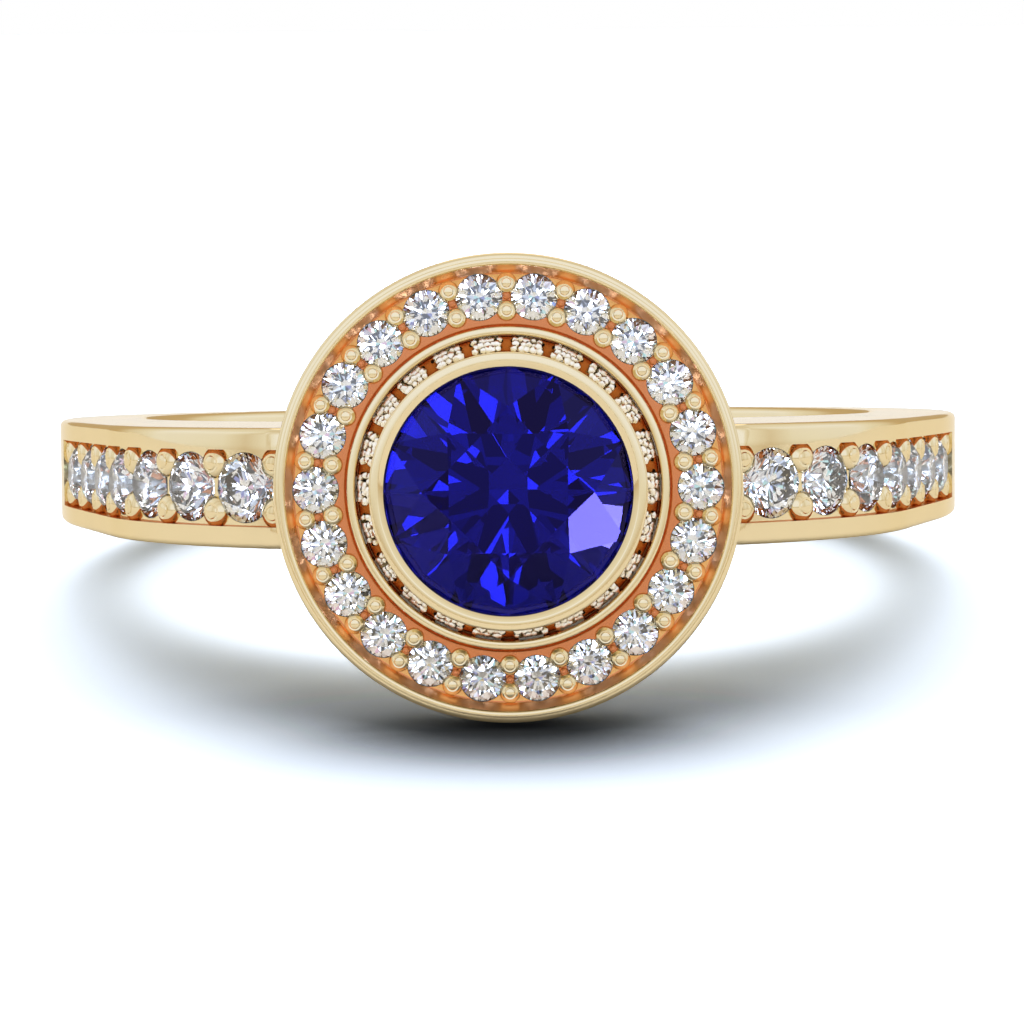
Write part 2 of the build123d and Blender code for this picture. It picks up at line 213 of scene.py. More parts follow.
class HaloRingHeadSizes(bpy.types.PropertyGroup):
    halo_height: length("Halo height", "Height of the halo's tray", 0.95)
    halo_radius: length("Halo radius", "Outer radius of the halo", 4.255)
    halo_bore: length("Halo bore", "Radius of the hole round the bezel", 2.785)
    floor_drop: length("Floor drop", "Tray's floor below the halo's rim", 0.27)
    stone_diameter: length("Stone diameter", "Diameter of a halo stone", 0.825)
    stone_circle: length("Stone circle", "Radius of the circle of stones", 3.495)
    lip_width: length("Lip width", "Rounded lip outside the halo's rim", 0.1)
    lip_drop: length("Lip drop", "Step between the lip and the rim", 0.05)
    rim_width: length("Rim width", "Flat top of the halo's rim", 0.105)
    slope_width: length("Slope width", "Sloped wall inside the rim", 0.14)
    foot_round: length("Foot rounding", "Rounding of the halo's lower edge", 0.14)
    inner_ridge_width: length("Inner ridge", "Flat ring inside the halo's stones", 0.15)
    inner_ridge_rise: length("Inner ridge rise", "Inner ring above the tray's floor", 0.05)
    inner_groove_width: length("Fine groove", "Cut line round the inner ring", 0.05)
    inner_groove_depth: length("Fine groove depth", "Depth of that cut line", 0.02)
    bead_diameter: length("Bead diameter", "Diameter of a halo bead", 0.385)
    knob_diameter: length("Knob diameter", "Diameter of the knob between two beads", 0.16)
    outer_bead_offset: length("Outer beads", "Outer beads from the stones' circle", 0.225)
    inner_bead_offset: length("Inner beads", "Inner beads from the stones' circle", 0.275)
    drill_diameter: length("Drill", "Hole under a halo stone", 0.36)
    window_width: length("Window width", "Width of the openings in the inner wall", 0.46)
    window_height: length("Window height", "Height of these openings", 0.38)
    window_top_drop: length("Window drop", "Openings below the tray's floor", 0.13)
    bezel_level: length("Bezel level", "Top of the bezel above the origin", 14.99)
    bezel_radius: length("Bezel radius", "Outer radius of the bezel", 2.47)
    bezel_lip_width: length("Bezel lip", "Flat top of the bezel's lip", 0.16)
    bezel_bevel_width: length("Bevel width", "Bright bevel inside the lip", 0.105)
    bezel_bevel_drop: length("Bevel drop", "Fall of that bevel", 0.045)
    bezel_lip_cover: length("Lip cover", "Lip over the stone's edge", 0.074)
    flare_radius: length("Flare radius", "Radius of the bezel's foot", 2.77)
    flare_top_drop: length("Flare drop", "Top of the flare below the tray's floor", 0.16)
    grain_diameter: length("Grains", "Diameter of the bright grains on the flare", 0.15)
    grain_pitch: length("Grain pitch", "From one grain to the next", 0.105)
    grain_rise: length("Grain rise", "Middle of a grain above the flare", 0.15)
    mark_diameter: length("Drill marks", "Diameter of the marks on the flare", 0.07)
    mark_inset: length("Mark inset", "Drill marks inside the flare's edge", 0.09)
    mark_spread: angle("Mark spread", "Turn of a mark from the middle of its pair", 2.2)
    bearing_width: length("Bearing", "Ledge under the centre stone", 0.32)
    stone_drop: length("Stone drop", "Centre stone's girdle below the bezel's top", 0.17)
    centre_diameter: length("Centre stone", "Diameter of the centre stone", 4.5)
    basket_radius: length("Basket radius", "Radius of the basket's top ring", 3.05)
    basket_foot_bore: length("Basket bore", "Hole through the basket's foot", 1.7)
    basket_foot_wall: length("Basket foot", "Wall of the basket's foot ring", 0.45)
    basket_ring_width: length("Basket ring", "Width of the basket's top ring", 0.75)
    basket_ring_height: length("Basket ring height", "Height of the foot and top rings", 0.42)
    basket_window_rim: length("Basket rim", "Wall over and under the openings", 0.08)
    basket_strut_width: length("Basket strut", "Width of a strut", 0.75)
    stone_count: IntProperty(
        name="Halo stones", description="Stones and bead pairs in the halo", default=22, min=3
    )


class HaloRingFinishes(bpy.types.PropertyGroup):
    gold: colour("Gold", "Polished faces", 0.86, 0.73, 0.46)
    # Painted shade: the recess tint stands for shade and repeated gold reflections, not for another
    # metal
    deep_shade_gold: colour("Deep gold", "Gold in narrow recesses", 0.68, 0.25, 0.10)
    # Painted reflection: the slope's orange stands for gold reflected in gold
    warm_reflection_gold: colour("Warm gold", "Gold on the halo's slope", 1.0, 0.52, 0.25)
    # Painted reflection: the outer floor's golden orange stands for reflected gold, a paler copy of
    # the recess shade
    outer_reflection_gold: colour("Outer gold", "Tray's floor outside the stones", 0.80, 0.43, 0.15)
    # Painted highlight: paler than the gold so that the grains and openings read bright
    grain: colour("Grain", "Bright-cut grains round the bezel", 1.0, 0.93, 0.76)
    # Painted light: the near-white seat colour stands for light seen through the stones, not for
    # burnished gold
    seat: colour("Seat", "Burnished seats under the stones", 0.96, 0.96, 0.95)
    # Painted shade: near-black for the shade inside cut lines and drill marks, not tarnish
    oxide: colour("Oxide", "Tarnish in cut lines and drill marks", 0.10, 0.04, 0.02)
    sapphire: colour("Sapphire", "Body colour of the centre stone", 0.003, 0.0035, 0.15)
    sapphire_zone: colour("Sapphire zoning", "Darker growth zones", 0.0025, 0.003, 0.12)
    sapphire_gloss: colour("Sapphire gloss", "Strength of its surface reflection", 0.12, 0.1, 1.0)
    diamond: colour("Diamond", "Body colour of the small stones", 0.95, 0.975, 1.0)
    floor: colour("Floor", "Studio floor", 0.8, 0.8, 0.81)


def sizes_of(group):
    """A settings group's values, its lengths in the bench's millimetres."""
    values = {}
    for name, prop in group.bl_rna.properties.items():
        if prop.type in {"FLOAT", "INT"}:
            value = getattr(group, name)
            values[name] = value / MM if prop.unit == "LENGTH" else value
    return SimpleNamespace(**values)


# Cuts: shares of the girdle's radius, a girdle as a share of the diameter, and angles in degrees
Cut = namedtuple("Cut", "table star crown pavilion lower girdle")
SAPPHIRE_CUT = Cut(table=0.5, star=0.67, crown=34.5, pavilion=41.5, lower=0.24, girdle=0.03)
DIAMOND_CUT = Cut(table=0.56, star=0.76, crown=34.5, pavilion=41.6, lower=0.22, girdle=0.045)
FACET_STEP = 2 * pi / 16

# A bead's dome as turns up its side, then the tool's ring mark as shares of its radius and rise
BEAD_TURNS = (0, 0.3, 0.55, 0.75, 0.92)
BEAD_MARK = ((0.52, 0.77), (0.46, 0.77), (0.4, 0.87), (0.25, 0.93), (0, 0.95))
BEAD_RISE = 0.62


# Bench work


def turned(points, steps=RIM_STEPS, closed=True):
    """Spins a profile of (reach, level, rounding) points about the Z axis."""
    bm = bmesh.new()
    corners = [bm.verts.new((reach, 0, level)) for reach, level, _ in points]
    for first, last in zip(corners, corners[1:]):
        bm.edges.new((first, last))
    if closed:
        bm.edges.new((corners[-1], corners[0]))
    for corner, (_, _, rounding) in zip(corners, points):
        if rounding:
            rounded(bm, [corner], rounding, affect="VERTICES")
    bmesh.ops.spin(
        bm, geom=bm.verts[:] + bm.edges[:], cent=(0, 0, 0), axis=(0, 0, 1), angle=2 * pi,
        steps=steps, use_merge=True,
    )
    return tidied(bm)


def rounded(bm, parts, radius, steps=ROUNDING_STEPS, affect="EDGES"):
    """Rounds edges, or corners of a flat profile."""
    bmesh.ops.bevel(
        bm, geom=parts, offset=radius, offset_type="OFFSET", segments=steps, profile=0.5,
        affect=affect, material=-1,
    )


def drawn_up(bm, faces, width):
    """Draws faces up by a width into a solid."""
    drawn = bmesh.ops.extrude_face_region(bm, geom=faces)["geom"]
    top = [part for part in drawn if isinstance(part, bmesh.types.BMVert)]
    bmesh.ops.translate(bm, vec=(0, 0, width), verts=top)
    bmesh.ops.recalc_face_normals(bm, faces=bm.faces[:])


def tidied(bm):
    """Merges doubled corners and turns every face outwards."""
    bmesh.ops.remove_doubles(bm, verts=bm.verts[:], dist=NEAR)
    bmesh.ops.recalc_face_normals(bm, faces=bm.faces[:])
    return bm


def placed(bm, *matrices):
    """One mesh with a copy of the shape at each matrix."""
    mesh = bpy.data.meshes.new("copies")
    gathered = bmesh.new()
    for matrix in matrices:
        copy = bm.copy()
        bmesh.ops.transform(copy, matrix=matrix, verts=copy.verts[:])
        copy.to_mesh(mesh)
        copy.free()
        gathered.from_mesh(mesh)
    bm.free()
    bpy.data.meshes.remove(mesh)
    bmesh.ops.recalc_face_normals(gathered, faces=gathered.faces[:])
    return gathered


def joined(*parts):
    """One bench mesh out of several."""
    mesh = bpy.data.meshes.new("joined")
    gathered = bmesh.new()
    for part in parts:
        part.to_mesh(mesh)
        part.free()
        gathered.from_mesh(mesh)
    bpy.data.meshes.remove(mesh)
    return gathered


def carved(bm, *tools):
    """Cuts the tools out of a shape, one after another."""
    body = bench_object("work", bm)
    cutters = [bench_object("tool", tool) for tool in tools]
    for cutter in cutters:
        step = body.modifiers.new("Cut", "BOOLEAN")
        step.operation = "DIFFERENCE"
        step.solver = "EXACT"
        step.object = cutter
    graph = bpy.context.evaluated_depsgraph_get()
    mesh = bpy.data.meshes.new_from_object(body.evaluated_get(graph))
    result = bmesh.new()
    result.from_mesh(mesh)
    for leftover in [body, *cutters]:
        bpy.data.meshes.remove(leftover.data)
    bpy.data.meshes.remove(mesh)
    return result


def bench_object(name, bm):
    """A bench piece with a slot for each finish, so that cut faces keep the tool's finish."""
    mesh = bpy.data.meshes.new(name)
    bm.to_mesh(mesh)
    bm.free()
    for _ in METALS:
        mesh.materials.append(None)
    thing = bpy.data.objects.new(name, mesh)
    bpy.context.scene.collection.objects.link(thing)
    return thing


def hand_over(name, bm, turn, materials, nodes, crease=METAL_CREASE):
    """Makes a finished piece of a bench mesh and lets it stand for its nodes."""
    if not bm.faces:
        raise RuntimeError(f"{name} came off the bench empty")
    bmesh.ops.transform(bm, matrix=TO_METRES @ turn, verts=bm.verts[:])
    mesh = bpy.data.meshes.new(name)
    bm.to_mesh(mesh)
    bm.free()
    for material in materials:
        mesh.materials.append(material)
    mesh.polygons.foreach_set("use_smooth", [True] * len(mesh.polygons))
    mesh.set_sharp_from_angle(angle=radians(crease))
    piece = bpy.data.objects.new(name, mesh)
    bpy.context.scene.collection.objects.link(piece)
    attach(piece, "root")
    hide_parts(*nodes)
    return piece


def even_shading(piece):
    """Keeps flat faces flat beside rounded edges."""
    shading = piece.modifiers.new("Even shading", "WEIGHTED_NORMAL")
    shading.keep_sharp = True
    shading.weight = EVEN_WEIGHT


def painted(bm, finish_name, picked=lambda middle: True):
    """Gives a finish to the faces that a test picks by their middle, or to all of them."""
    slot = list(METALS).index(finish_name)
    for face in bm.faces:
        if picked(face.calc_center_median()):
            face.material_index = slot
    return bm


# Stones


def brilliant_rings(diameter, cut):
    """Radius and height of the table, star tips, girdle, keel, lower tips and culet."""
    radius = diameter / 2
    flat = cos(FACET_STEP)
    crown_slope, pavilion_slope = tan(radians(cut.crown)), tan(radians(cut.pavilion))
    table = (cut.table * radius, (1 - cut.table) * radius * crown_slope)
    star = (cut.star * radius, (1 - cut.star * flat) * radius * crown_slope)
    keel = -cut.girdle * diameter
    lower = (cut.lower * radius, keel - (1 - cut.lower * flat) * radius * pavilion_slope)
    return table, star, (radius, 0), (radius, keel), lower, (0, keel - radius * pavilion_slope)


def facet_planes(rings):
    """A point and an outward normal for each facet but the table."""
    table, star, rim, keel, lower, culet = rings

    def corner(ring, k):
        return Vector((ring[0] * cos(FACET_STEP * k), ring[0] * sin(FACET_STEP * k), ring[1]))

    planes = []
    for k in range(0, 16, 2):
        planes += [
            (corner(table, k - 1), corner(table, k + 1), corner(star, k)),
            (corner(star, k), corner(rim, k + 1), corner(star, k + 2)),
            (corner(star, k), corner(rim, k - 1), corner(rim, k)),
            (corner(star, k), corner(rim, k), corner(rim, k + 1)),
            (corner(lower, k), corner(keel, k - 1), corner(keel, k)),
            (corner(lower, k), corner(keel, k), corner(keel, k + 1)),
            (corner(lower, k), corner(culet, k), corner(lower, k + 2)),
        ]
    heart = Vector((0, 0, keel[1]))
    for first, second, third in planes:
        normal = (second - first).cross(third - first).normalized()
        yield first, normal if normal.dot(first - heart) > 0 else -normal


def brilliant(diameter, cut, girdle_segments):
    """Round brilliant cut from a cylinder, one facet at a time."""
    rings = brilliant_rings(diameter, cut)
    table_height, culet_height = rings[0][1], rings[-1][1]
    bm = bmesh.new()
    bmesh.ops.create_cone(
        bm, cap_ends=True, segments=girdle_segments, radius1=diameter / 2, radius2=diameter / 2,
        depth=-3 * culet_height,
    )
    cut_flat(bm, Vector((0, 0, table_height)), Vector((0, 0, 1)))
    for point, normal in facet_planes(rings):
        cut_flat(bm, point, normal)
    bmesh.ops.recalc_face_normals(bm, faces=bm.faces[:])
    return bm


def cut_flat(bm, point, normal):
    """Cuts away what is outside a plane and closes the shape with one facet."""
    bmesh.ops.bisect_plane(
        bm, geom=bm.verts[:] + bm.edges[:] + bm.faces[:], plane_co=point, plane_no=normal,
        clear_outer=True, dist=1e-5,
    )
    bmesh.ops.remove_doubles(bm, verts=bm.verts[:], dist=2e-5)
    bmesh.ops.holes_fill(bm, edges=[edge for edge in bm.edges if edge.is_boundary])


def seat_tool(diameter, depth, drill):
    """The bur that cuts a stone's seat, with its top above the floor."""
    rings = brilliant_rings(diameter, DIAMOND_CUT)
    rim, keel, culet = diameter / 2 + BUR_ROOM, rings[3][1] - BUR_ROOM, rings[-1][1] - BUR_ROOM
    tip = culet + drill / 2 * (keel - culet) / rim
    points = [(0, BUR_RISE), (rim, BUR_RISE), (rim, keel), (drill / 2, tip)]
    points += [(drill / 2, -depth), (0, -depth)] if depth else [(0, tip)]
    return turned([(reach, level, 0) for reach, level in points], BUR_STEPS, closed=False)


def bead(diameter):
    """Low raised bead with the ring mark of the beading tool, its foot in the floor."""
    radius = diameter / 2
    dome = [(radius * cos(turn), BEAD_RISE * radius * sin(turn)) for turn in BEAD_TURNS]
    top = [(radius * reach, BEAD_RISE * radius * rise) for reach, rise in BEAD_MARK]
    points = [(radius, -radius / 2), *dome, *top]
    return turned([(reach, level, 0) for reach, level in points], BEAD_STEPS, closed=False)


# Shank


def shank_outline(size):
    """Places along the shank's outline: run from the widest point, then spot and lean."""
    bore_radius = size.bore_diameter / 2
    side_x = bore_radius + size.side_wall
    taper_lean = pi / 2 - size.flank_sweep
    flank_run = size.flank_radius * size.flank_sweep
    flank_centre = Vector((side_x - size.flank_radius, 0, 0))
    taper_start = flank_centre + outward(taper_lean) * size.flank_radius
    taper_end = taper_start + forward(taper_lean) * size.taper_length
    shoulder_centre = taper_end - outward(taper_lean) * size.shoulder_radius
    seat_lean = acos((size.seat_level + shoulder_centre.y) / size.shoulder_radius)
    taper_run = flank_run + size.taper_length
    seat_run = taper_run + (taper_lean - seat_lean) * size.shoulder_radius
    return SimpleNamespace(
        side_x=side_x, bore_radius=bore_radius, taper_lean=taper_lean, flank_run=flank_run,
        flank_centre=flank_centre, taper_start=taper_start, taper_run=taper_run,
        shoulder_centre=shoulder_centre, seat_lean=seat_lean, seat_run=seat_run,
    )


def outward(lean):
    return Vector((sin(lean), -cos(lean), 0))


def forward(lean):
    return Vector((-cos(lean), -sin(lean), 0))


def shoulder_place(size, line, run, side):
    """Matrix on the channel's floor at a run, facing out, on the right (1) or left (-1)."""
    if run <= line.flank_run:
        lean = pi / 2 - run / size.flank_radius
        spot = line.flank_centre + outward(lean) * size.flank_radius
    elif run <= line.taper_run:
        lean = line.taper_lean
        spot = line.taper_start + forward(lean) * (run - line.flank_run)
    else:
        lean = line.taper_lean - (run - line.taper_run) / size.shoulder_radius
        spot = line.shoulder_centre + outward(lean) * size.shoulder_radius
    spot = spot - outward(lean) * size.channel_depth
    out = Vector((side * outward(lean).x, outward(lean).y, 0))
    across = Vector((0, 0, 1))
    turn = Matrix((across, out.cross(across), out)).transposed().to_4x4()
    return Matrix.Translation((side * spot.x, spot.y, 0)) @ turn


def stone_run(size, line, number):
    """Run of a shoulder stone's centre: 1 is next to the head. Halves fall between stones."""
    pitch = size.stone_diameter + size.stone_gap
    return line.seat_run - size.first_stone_margin - (number - 1) * pitch


def swept(bm, size, line, geometry, start_run, end_run):
    """Carries geometry along the outline from one run to another by spins and a pull."""
    arc = (line.flank_run - start_run) / size.flank_radius
    geometry = spun(bm, geometry, line.flank_centre, -arc, FLANK_STEPS)
    pull = forward(line.taper_lean) * size.taper_length / TAPER_STEPS
    geometry = bmesh.ops.spin(
        bm, geom=geometry, cent=(0, 0, 0), axis=(0, 0, 1), dvec=pull, angle=0, steps=TAPER_STEPS
    )["geom_last"]
    arc = (end_run - line.taper_run) / size.shoulder_radius
    return spun(bm, geometry, line.shoulder_centre, -arc, SHOULDER_STEPS)


def spun(bm, geometry, centre, turn, steps):
    return bmesh.ops.spin(
        bm, geom=geometry, cent=centre, axis=(0, 0, 1), angle=turn, steps=steps
    )["geom_last"]


def shank_blank(size, line):
    """The outline and the bore, bridged, drawn to the band's width and rounded."""
    bm = bmesh.new()
    start = bm.verts.new((line.side_x, 0, 0))
    tip = swept(bm, size, line, [start], 0, line.seat_run)[0]
    bmesh.ops.mirror(bm, geom=bm.verts[:] + bm.edges[:], axis="X", merge_dist=0)
    left_tip = min(bm.verts, key=lambda vert: (vert.co - Vector((-tip.co.x, tip.co.y, 0))).length)
    bm.edges.new((tip, left_tip))
    back = bm.verts.new((line.side_x, 0, 0))
    spun(bm, [back], (0, 0, 0), pi, BACK_STEPS)
    bmesh.ops.remove_doubles(bm, verts=bm.verts[:], dist=NEAR)
    seat = [edge for edge in bm.edges if edge.calc_length() > size.notch_mouth_width / 2]
    bmesh.ops.subdivide_edges(bm, edges=seat, cuts=SEAT_CUTS)
    bmesh.ops.create_circle(bm, segments=len(bm.verts), radius=line.bore_radius)
    bmesh.ops.bridge_loops(bm, edges=bm.edges[:])
    bmesh.ops.translate(bm, vec=(0, 0, -size.band_width / 2), verts=bm.verts[:])
    drawn_up(bm, bm.faces[:], size.band_width)
    rounded_rims(bm, size, line)
    return bm


def rounded_rims(bm, size, line):
    """Rounds the long edges of the band, outside and in the finger hole."""
    rims = [edge for edge in bm.edges if edge.calc_face_angle(0) > radians(60)]
    bore = [edge for edge in rims if edge.verts[0].co.xy.length < line.bore_radius + NEAR]
    outer = [edge for edge in rims if edge not in set(bore)]
    rounded(bm, outer, size.outer_edge_round)
    rounded(bm, bore, size.bore_edge_round)


def prism(points, width):
    """A flat outline in XY drawn to a width about the middle."""
    bm = bmesh.new()
    face = bm.faces.new([bm.verts.new((x, y, -width / 2)) for x, y in points])
    drawn_up(bm, [face], width)
    return bm


def notch_tool(size, line):
    """The gap between the shoulders, with a rounded foot."""
    foot, mouth = size.notch_foot_width / 2, size.notch_mouth_width / 2
    low, high = line.bore_radius + size.bridge_thickness, size.seat_level
    reach = foot + (mouth - foot) * (high + 1 - low) / (high - low)
    bm = prism([(-foot, -low), (foot, -low), (reach, -high - 1), (-reach, -high - 1)],
               2 * size.band_width)
    corners = [
        edge for edge in bm.edges
        if all(abs(vert.co.y + low) < NEAR for vert in edge.verts)
        and abs(edge.verts[0].co.x - edge.verts[1].co.x) < NEAR
    ]
    rounded(bm, corners, size.notch_corner_radius, NOTCH_CORNER_STEPS)
    return bm


def channel_tool(size, line):
    """The sunk channels along both shoulders, as one cutter."""
    start = stone_run(size, line, size.stone_count) - size.channel_foot_margin
    half = size.band_width / 2 - size.rail_width
    foot = shoulder_place(size, line, start, 1)
    bm = bmesh.new()
    corners = [(-half, 0), (half, 0), (half, 1), (-half, 1)]
    face = bm.faces.new([bm.verts.new(foot @ Vector((x, 0, z))) for x, z in corners])
    swept(bm, size, line, bm.verts[:] + bm.edges[:] + [face], start,
          line.seat_run + size.channel_overrun)
    bmesh.ops.mirror(bm, geom=bm.verts[:] + bm.edges[:] + bm.faces[:], axis="X", merge_dist=0)
    return tidied(bm)


def shank(size):
    """The shank with its notch, channels, seats and beads."""
    line = shank_outline(size)
    seats = [
        shoulder_place(size, line, stone_run(size, line, number), side)
        for side in (1, -1) for number in range(1, size.stone_count + 1)
    ]
    beads = [
        shoulder_place(size, line, stone_run(size, line, number + 0.5), side)
        @ Matrix.Translation((row, 0, 0))
        for side in (1, -1) for number in range(size.stone_count + 1)
        for row in (-size.bead_row, size.bead_row)
    ]
    # The seats get the near-white painted light
    bur = placed(painted(seat_tool(size.stone_diameter, 0, 0), "burnished_seat"), *seats)
    wall = size.band_width / 2 - size.rail_width - NEAR
    # The channel walls get the recess's painted shade
    channels = painted(channel_tool(size, line), "recess_gold",
                       lambda middle: abs(middle.z) > wall)
    body = carved(shank_blank(size, line), notch_tool(size, line), channels, bur)
    return joined(body, placed(bead(size.bead_diameter), *beads))


# Head


def head_levels(size, seat_level):
    """Levels and radii of the head that follow from its sizes."""
    halo_level = seat_level + size.halo_height
    return SimpleNamespace(
        seat=seat_level, halo=halo_level, floor=halo_level - size.floor_drop,
        lip=halo_level - size.lip_drop,
    )


def halo_tray(size, level):
    """The halo's turned tray with its rounded lip, rim, slope, floor and fine groove."""
    rim_out = size.halo_radius - size.lip_width
    rim_in = rim_out - size.rim_width
    ridge = size.halo_bore + size.inner_ridge_width
    groove = ridge + size.inner_groove_width
    groove_level = level.floor - size.inner_groove_depth
    ridge_level = level.floor + size.inner_ridge_rise
    return turned([
        (size.halo_bore, level.seat, 0),
        (size.halo_radius, level.seat, size.foot_round),
        (size.halo_radius, level.lip, HALO_LIP_ROUND),
        (rim_out, level.lip, 0),
        (rim_out, level.halo, RIM_OUTER_ROUND),
        (rim_in, level.halo, RIM_INNER_ROUND),
        (rim_in - size.slope_width, level.floor, EDGE_ROUND),
        (size.stone_circle, level.floor, 0),
        (groove, level.floor, 0),
        ((groove + ridge) / 2, groove_level, 0),
        (ridge, level.floor, 0),
        (ridge, ridge_level, EDGE_ROUND),
        (size.halo_bore, ridge_level, EDGE_ROUND),
    ])


def round_head(count, reach, level, turn=0.0):
    """Places round the head's axis at a reach and a level, the first at +X or at a turn."""
    return [
        Matrix.Rotation(turn + 2 * pi * number / count, 4, "Z")
        @ Matrix.Translation((reach, 0, level))
        for number in range(count)
    ]


def halo(size, level):
    """The tray with its finishes of painted shade, reflection and highlight, seats, openings to the
    bezel, beads and knobs.
    """
    count, circle, floor = size.stone_count, size.stone_circle, level.floor
    rim_in = size.halo_radius - size.lip_width - size.rim_width
    ridge = size.halo_bore + size.inner_ridge_width
    under_rim = level.halo - RIM_MARGIN
    tray = halo_tray(size, level)
    # Painted shade on the tray's floor from the inner ridge out to the slope
    painted(tray, "recess_gold", lambda middle: ridge < middle.xy.length < rim_in - WALL_MARGIN
            and floor - FLOOR_MARGIN < middle.z < under_rim)
    # Painted reflection on the slope inside the rim
    painted(tray, "slope_gold", lambda middle: middle.z < under_rim
            and rim_in - size.slope_width < middle.xy.length < rim_in - WALL_MARGIN)
    # Painted reflection on the tray's floor outside the circle of stones
    painted(tray, "golden_floor", lambda middle: circle < middle.xy.length < rim_in
            and middle.z < floor + NEAR)
    # Painted shade on the bore's wall under the floor, between the openings
    painted(tray, "recess_gold", lambda middle: middle.xy.length < size.halo_bore + NEAR
            and middle.z < floor)
    seat = seat_tool(size.stone_diameter, size.halo_height, size.drill_diameter)
    # The seats get the near-white painted light
    seats = placed(painted(seat, "burnished_seat"), *round_head(count, circle, floor))
    half, reach = size.window_width / 2, circle - size.flare_radius
    window = prism([(-reach, -half), (reach, -half), (reach, half), (-reach, half)],
                   size.window_height)
    middle_level = floor - size.window_top_drop - size.window_height / 2
    # The openings' walls get the painted highlight, so the flare mirrors them bright
    windows = placed(painted(window, "bright_grain"),
                     *round_head(count, size.flare_radius, middle_level))
    beads = [
        place for offset in (size.outer_bead_offset, -size.inner_bead_offset)
        for place in round_head(count, circle + offset, floor, pi / count)
    ]
    knobs = placed(bead(size.knob_diameter), *round_head(count, circle, floor, pi / count))
    # The knobs get the recess's painted shade
    return joined(carved(tray, seats, windows), painted(knobs, "recess_gold"),
                  placed(bead(size.bead_diameter), *beads))


def bezel(size, level):
    """Bezel cup: flared foot, wall, bevelled lip and the bearing for the centre stone."""
    flare_top = level.floor - size.flare_top_drop
    lip = size.bezel_radius - size.bezel_lip_width
    girdle = size.bezel_level - size.stone_drop
    rings = brilliant_rings(size.centre_diameter, SAPPHIRE_CUT)
    rim = size.centre_diameter / 2 + GIRDLE_ROOM
    keel = girdle + rings[3][1] - GIRDLE_ROOM
    bearing = size.centre_diameter / 2 - size.bearing_width
    opening = size.centre_diameter / 2 - size.bezel_lip_cover
    over = size.bezel_lip_cover * tan(radians(SAPPHIRE_CUT.crown))
    bearing_level = keel - size.bearing_width * tan(radians(SAPPHIRE_CUT.pavilion))
    cup = turned([
        (bearing, level.seat, 0),
        (size.flare_radius, level.seat, 0),
        (size.flare_radius, flare_top - (size.flare_radius - size.bezel_radius), EDGE_ROUND),
        (size.bezel_radius, flare_top, 0),
        (size.bezel_radius, size.bezel_level, BEZEL_ROUND),
        (lip, size.bezel_level, BEVEL_ROUND),
        (lip - size.bezel_bevel_width, size.bezel_level - size.bezel_bevel_drop, BEVEL_ROUND),
        (opening, girdle + over + LIP_ROOM, 0),
        (rim, girdle + LIP_ROOM, 0),
        (rim, keel, 0),
        (bearing, bearing_level, 0),
    ])
    return with_gallery(cup, size, flare_top)


def with_gallery(cup, size, flare_top):
    """The bezel's flare with grains in a painted highlight under the stones and drill marks in
    painted shade between them.
    """
    pitch = 2 * pi / size.stone_count
    reach = (size.bezel_radius + size.flare_radius) / 2
    chance = Random(GRAIN_SEED)
    spots = [
        (reach + row * size.grain_pitch * GRAIN_ROW_SHARE, column * size.grain_pitch / reach)
        for row in GRAIN_ROWS for column in GRAIN_COLUMNS
    ]
    grains = [
        Matrix.Rotation(pitch * number + turn + chance.uniform(-GRAIN_JITTER, GRAIN_JITTER), 4, "Z")
        @ Matrix.Translation((spot, 0, flare_top + size.grain_rise - spot + size.bezel_radius))
        @ Matrix.Scale(chance.uniform(*GRAIN_SCALES), 4)
        @ Matrix.Scale(GRAIN_FLATNESS, 4, (0, 0, 1))
        @ Matrix.Rotation(chance.uniform(0, pi), 4, (chance.random(), 1, chance.random()))
        for number in range(size.stone_count) for spot, turn in spots
    ]
    marks = [
        place for side in (-1, 1)
        for place in round_head(size.stone_count, size.flare_radius - size.mark_inset,
                                flare_top - size.mark_inset, pitch / 2 + side * size.mark_spread)
    ]
    grain = bmesh.new()
    bmesh.ops.create_icosphere(grain, subdivisions=1, radius=size.grain_diameter / 2)
    mark = bmesh.new()
    bmesh.ops.create_cone(mark, cap_ends=True, segments=MARK_STEPS, depth=MARK_DEPTH,
                          radius1=size.mark_diameter / 2, radius2=size.mark_diameter / 2)
    # The drill marks get the near-black painted shade
    body = carved(cup, painted(placed(mark, *marks), "seat_oxide"))
    # The grains get the painted highlight
    return joined(body, painted(placed(grain, *grains), "bright_grain"))


def basket(size, level, bridge_level):
    """Flared basket: a foot ring, four struts and a ring that carries the head."""
    bore = size.basket_foot_bore / 2
    foot = bore + size.basket_foot_wall
    low = bridge_level + size.basket_ring_height
    high = level.seat - size.basket_ring_height
    top_bore = size.basket_radius - size.basket_ring_width
    body = turned([
        (bore, bridge_level, 0),
        (foot, bridge_level, BASKET_RING_ROUND),
        (foot, low, BASKET_ROUND),
        (size.basket_radius, high, BASKET_ROUND),
        (size.basket_radius, level.seat, BASKET_RING_ROUND),
        (top_bore, level.seat, 0),
        (top_bore, high, 0),
        (bore, low, 0),
    ], BASKET_STEPS)
    sill, lintel = low + size.basket_window_rim, high - size.basket_window_rim
    apex, reach = size.basket_strut_width / 2 ** 0.5, 2 * size.basket_radius
    window = prism([(apex, 0), (reach, apex - reach), (reach, reach - apex)], lintel - sill)
    return carved(body, placed(window, *round_head(4, 0, (sill + lintel) / 2)))


# Finishes


def new_material(name, tint):
    """A material with a Principled shader, and its node tree."""
    material = bpy.data.materials.new(name)
    material.use_nodes = True
    material.diffuse_color = (*tint, 1)
    return material, material.node_tree


